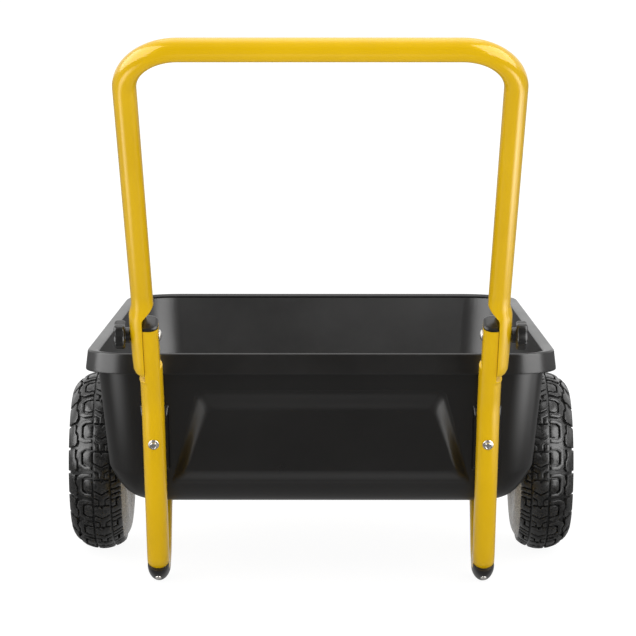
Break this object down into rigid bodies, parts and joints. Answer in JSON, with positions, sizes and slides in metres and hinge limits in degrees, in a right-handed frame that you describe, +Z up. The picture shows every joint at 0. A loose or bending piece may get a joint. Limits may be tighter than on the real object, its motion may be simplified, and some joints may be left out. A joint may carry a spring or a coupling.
{
  "type": "yard cart",
  "caption": "Tub yard cart with a folding bent-tube U handle, two tube rails that end in feet, and two pneumatic wheels on an axle.",
  "frame": {"origin": "on the ground, under the middle of the cart's overall length and width at rest", "axes": "+Z up, +Y towards the tub's front, -Y towards the handle and its user, +X to the right seen from behind"},
  "size_m": [0.7772, 1.2461, 0.7885],
  "materials": {
    "yellow_paint": "gloss powder coat",
    "black_plastic": "semi-gloss moulded",
    "tyre_rubber": "matt rubber",
    "zinc_plate": "zinc plated",
    "rim_paint": "silver paint"
  },
  "bodies": {
    "frame": {"tub": "black_plastic", "left_rail": "yellow_paint", "right_rail": "yellow_paint", "cross_strap": "yellow_paint", "left_rail_top_plug": "black_plastic", "right_rail_top_plug": "black_plastic", "left_rail_front_plug": "black_plastic", "right_rail_front_plug": "black_plastic", "left_foot_pad": "black_plastic", "right_foot_pad": "black_plastic", "left_foot_screw": "zinc_plate", "right_foot_screw": "zinc_plate", "left_rear_bolt": "zinc_plate", "right_rear_bolt": "zinc_plate", "left_rear_nut": "zinc_plate", "right_rear_nut": "zinc_plate", "left_rear_floor_bolt": "zinc_plate", "right_rear_floor_bolt": "zinc_plate", "left_front_floor_bolt": "zinc_plate", "right_front_floor_bolt": "zinc_plate", "left_rear_floor_nut": "zinc_plate", "right_rear_floor_nut": "zinc_plate", "left_front_floor_nut": "zinc_plate", "right_front_floor_nut": "zinc_plate", "left_knob_bolt": "zinc_plate", "right_knob_bolt": "zinc_plate", "axle": "zinc_plate", "left_axle_spacer": "zinc_plate", "right_axle_spacer": "zinc_plate", "left_axle_washer": "zinc_plate", "right_axle_washer": "zinc_plate", "left_axle_nut": "zinc_plate", "right_axle_nut": "zinc_plate"},
    "handle": {"handle": "yellow_paint"},
    "left_knob": {"left_knob": "black_plastic"},
    "right_knob": {"right_knob": "black_plastic"},
    "left_wheel": {"left_tyre": "tyre_rubber", "left_outer_rim": "rim_paint", "left_inner_rim": "rim_paint", "left_hub_tube": "zinc_plate", "left_outer_bearing": "zinc_plate", "left_inner_bearing": "zinc_plate", "left_rim_bolt_1": "zinc_plate", "left_rim_bolt_2": "zinc_plate", "left_rim_bolt_3": "zinc_plate", "left_rim_bolt_4": "zinc_plate", "left_valve_stem": "tyre_rubber", "left_valve_cap": "black_plastic"},
    "right_wheel": {"right_tyre": "tyre_rubber", "right_outer_rim": "rim_paint", "right_inner_rim": "rim_paint", "right_hub_tube": "zinc_plate", "right_outer_bearing": "zinc_plate", "right_inner_bearing": "zinc_plate", "right_rim_bolt_1": "zinc_plate", "right_rim_bolt_2": "zinc_plate", "right_rim_bolt_3": "zinc_plate", "right_rim_bolt_4": "zinc_plate", "right_valve_stem": "tyre_rubber", "right_valve_cap": "black_plastic"}
  },
  "joints": [
    {"name": "handle_fold", "type": "hinge", "parent": "frame", "child": "handle", "pos_m": [0, -0.22347, 0.3795], "axis": [-1, 0, 0], "range_deg": [0, 125]},
    {"name": "left_wheel_spin", "type": "hinge", "parent": "frame", "child": "left_wheel", "pos_m": [-0.337, 0.21175, 0.135], "axis": [1, 0, 0], "continuous": true},
    {"name": "right_wheel_spin", "type": "hinge", "parent": "frame", "child": "right_wheel", "pos_m": [0.337, 0.21175, 0.135], "axis": [1, 0, 0], "continuous": true},
    {"name": "left_knob_turn", "type": "hinge", "parent": "frame", "child": "left_knob", "pos_m": [-0.26085, -0.22347, 0.3795], "axis": [1, 0, 0], "continuous": true},
    {"name": "right_knob_turn", "type": "hinge", "parent": "frame", "child": "right_knob", "pos_m": [0.26085, -0.22347, 0.3795], "axis": [1, 0, 0], "continuous": true}
  ]
}
